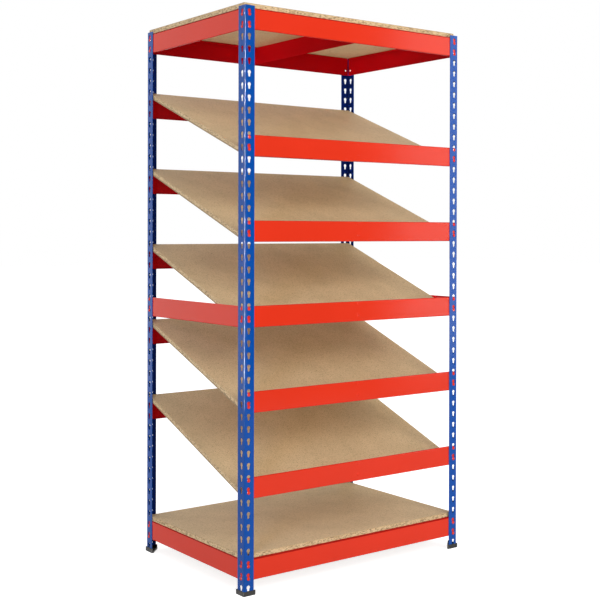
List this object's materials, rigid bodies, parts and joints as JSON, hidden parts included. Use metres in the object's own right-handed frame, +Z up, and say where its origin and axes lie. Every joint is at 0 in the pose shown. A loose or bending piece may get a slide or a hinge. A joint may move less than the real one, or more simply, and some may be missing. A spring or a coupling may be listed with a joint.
{
  "type": "sloping shelving unit",
  "caption": "Boltless steel shelving bay on slotted angle posts, with chipboard shelves that slope down to the front between a flat top shelf and a flat bottom shelf.",
  "frame": {"origin": "on the floor, in the middle of the bay's plan, under the soles of the feet", "axes": "+X to the right seen from the front, +Y to the back, +Z up; the front faces -Y, and the sloping shelves come down towards it"},
  "size_m": [0.9256, 0.6206, 1.8414],
  "materials": {
    "blue_paint": "blue powder coat, semi-gloss",
    "red_paint": "orange-red powder coat, semi-gloss",
    "chipboard": "bare sanded chipboard",
    "black_plastic": "matt moulded"
  },
  "bodies": {
    "rack": {"bottom_back_beam": "red_paint", "bottom_centre_tie": "red_paint", "bottom_front_beam": "red_paint", "bottom_left_beam": "red_paint", "bottom_right_beam": "red_paint", "foot_back_left": "black_plastic", "foot_back_right": "black_plastic", "foot_front_left": "black_plastic", "foot_front_right": "black_plastic", "middle_left_beam": "red_paint", "middle_right_beam": "red_paint", "post_back_left": "blue_paint", "post_back_right": "blue_paint", "post_front_left": "blue_paint", "post_front_right": "blue_paint", "sloping_1_back_beam": "red_paint", "sloping_1_front_beam": "red_paint", "sloping_2_back_beam": "red_paint", "sloping_2_front_beam": "red_paint", "sloping_3_back_beam": "red_paint", "sloping_3_front_beam": "red_paint", "sloping_4_back_beam": "red_paint", "sloping_4_front_beam": "red_paint", "sloping_5_back_beam": "red_paint", "sloping_5_front_beam": "red_paint", "top_back_beam": "red_paint", "top_centre_tie": "red_paint", "top_front_beam": "red_paint", "top_left_beam": "red_paint", "top_right_beam": "red_paint"},
    "top_board": {"top_board": "chipboard"},
    "sloping_1_board": {"sloping_1_board": "chipboard"},
    "sloping_2_board": {"sloping_2_board": "chipboard"},
    "sloping_3_board": {"sloping_3_board": "chipboard"},
    "sloping_4_board": {"sloping_4_board": "chipboard"},
    "sloping_5_board": {"sloping_5_board": "chipboard"},
    "bottom_board": {"bottom_board": "chipboard"}
  },
  "joints": [
    {"name": "top_board_lift", "type": "slide", "parent": "rack", "child": "top_board", "axis": [0, 0, 1], "range_m": [0, 0.1]},
    {"name": "sloping_1_board_lift", "type": "slide", "parent": "rack", "child": "sloping_1_board", "axis": [0, 0, 1], "range_m": [0, 0.045]},
    {"name": "sloping_2_board_lift", "type": "slide", "parent": "rack", "child": "sloping_2_board", "axis": [0, 0, 1], "range_m": [0, 0.045]},
    {"name": "sloping_3_board_lift", "type": "slide", "parent": "rack", "child": "sloping_3_board", "axis": [0, 0, 1], "range_m": [0, 0.045]},
    {"name": "sloping_4_board_lift", "type": "slide", "parent": "rack", "child": "sloping_4_board", "axis": [0, 0, 1], "range_m": [0, 0.018]},
    {"name": "sloping_5_board_lift", "type": "slide", "parent": "rack", "child": "sloping_5_board", "axis": [0, 0, 1], "range_m": [0, 0.045]},
    {"name": "bottom_board_lift", "type": "slide", "parent": "rack", "child": "bottom_board", "axis": [0, 0, 1], "range_m": [0, 0.1]}
  ]
}
